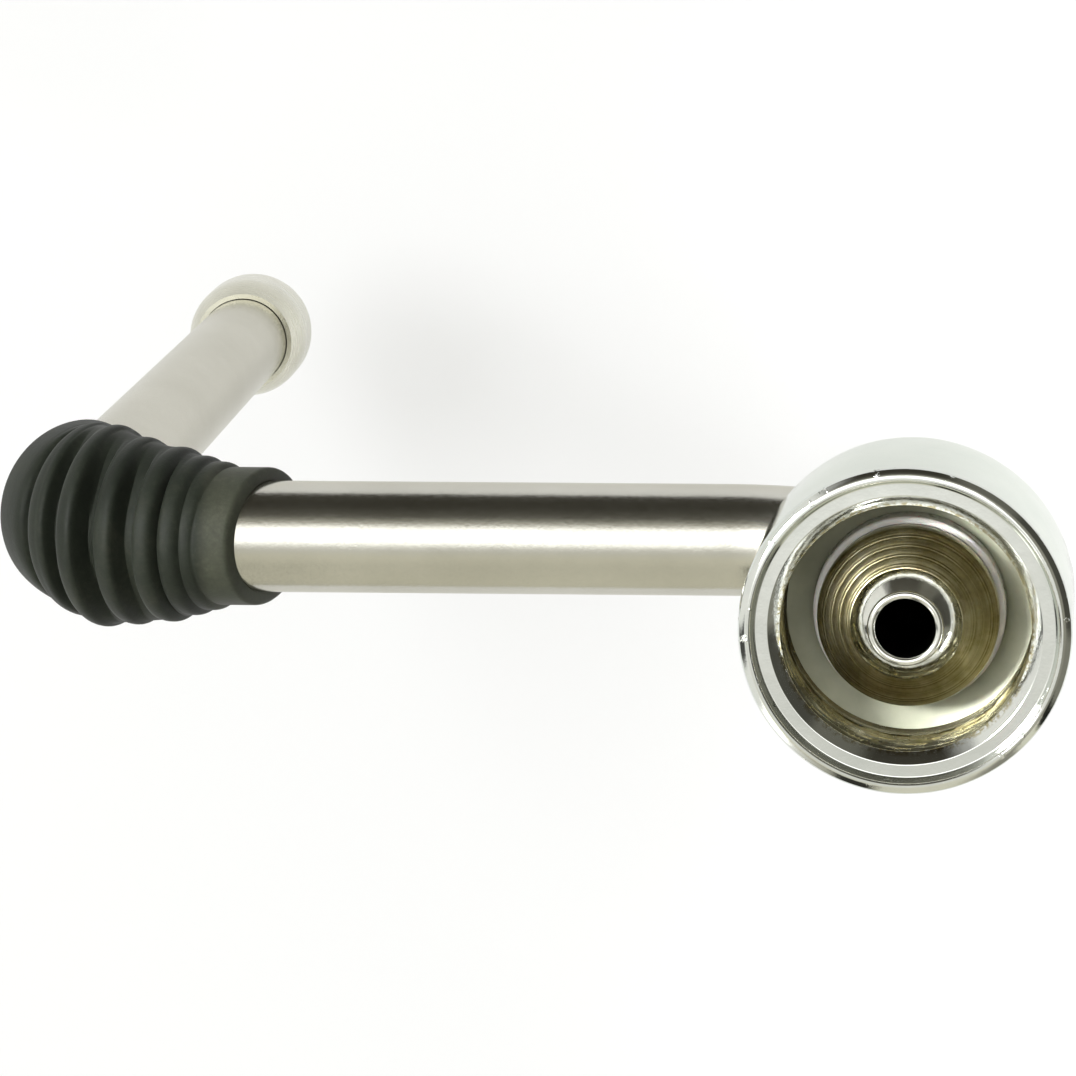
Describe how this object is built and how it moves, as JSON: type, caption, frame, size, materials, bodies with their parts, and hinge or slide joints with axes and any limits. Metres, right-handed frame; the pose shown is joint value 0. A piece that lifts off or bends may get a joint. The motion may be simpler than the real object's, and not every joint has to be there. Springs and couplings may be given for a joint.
{
  "type": "espresso machine steam wand",
  "caption": "Bent steel steam wand with a ball joint held in a round chrome union nut, a ribbed rubber elbow grip and a domed steam tip.",
  "frame": {"origin": "On the axis of the union nut, at the outer end of its internal thread, just below the chamfer of the mouth.", "axes": "+Z is the union nut's axis and points out of its mouth, toward the machine. The wand leaves downward and its crank runs toward -X, in the XZ plane. +Y completes the right-handed frame and is the plane's normal."},
  "size_m": [0.1047, 0.027, 0.1662],
  "materials": {
    "chrome": "polished chrome plating",
    "seat_plastic": "smooth white low-friction plastic",
    "brass": "turned, fine concentric tool marks, tarnished",
    "polished_steel": "mirror polished steel",
    "satin_steel": "bright satin stainless tube",
    "rubber": "matt moulded black rubber",
    "turned_steel": "turned stainless",
    "seal_rubber": "black seal rubber",
    "satin_steel_tip": "satin stainless, rounded"
  },
  "bodies": {
    "nut": {"union_nut": "chrome"},
    "seat": {"seat_ring": "seat_plastic"},
    "wand": {"swivel_ball": "brass", "nose_spigot": "polished_steel", "wand_tube": "satin_steel", "elbow_grip": "rubber", "tip_bush": "turned_steel", "tip_o_ring": "seal_rubber", "steam_tip": "satin_steel_tip"}
  },
  "joints": [
    {"name": "wand_turn", "type": "hinge", "parent": "nut", "child": "seat", "pos_m": [0, 0, -0.0046], "axis": [0, 0, 1], "continuous": true},
    {"name": "wand_tilt", "type": "hinge", "parent": "seat", "child": "wand", "pos_m": [0, 0, -0.0046], "axis": [0, 1, 0], "range_deg": [-15, 15]}
  ]
}
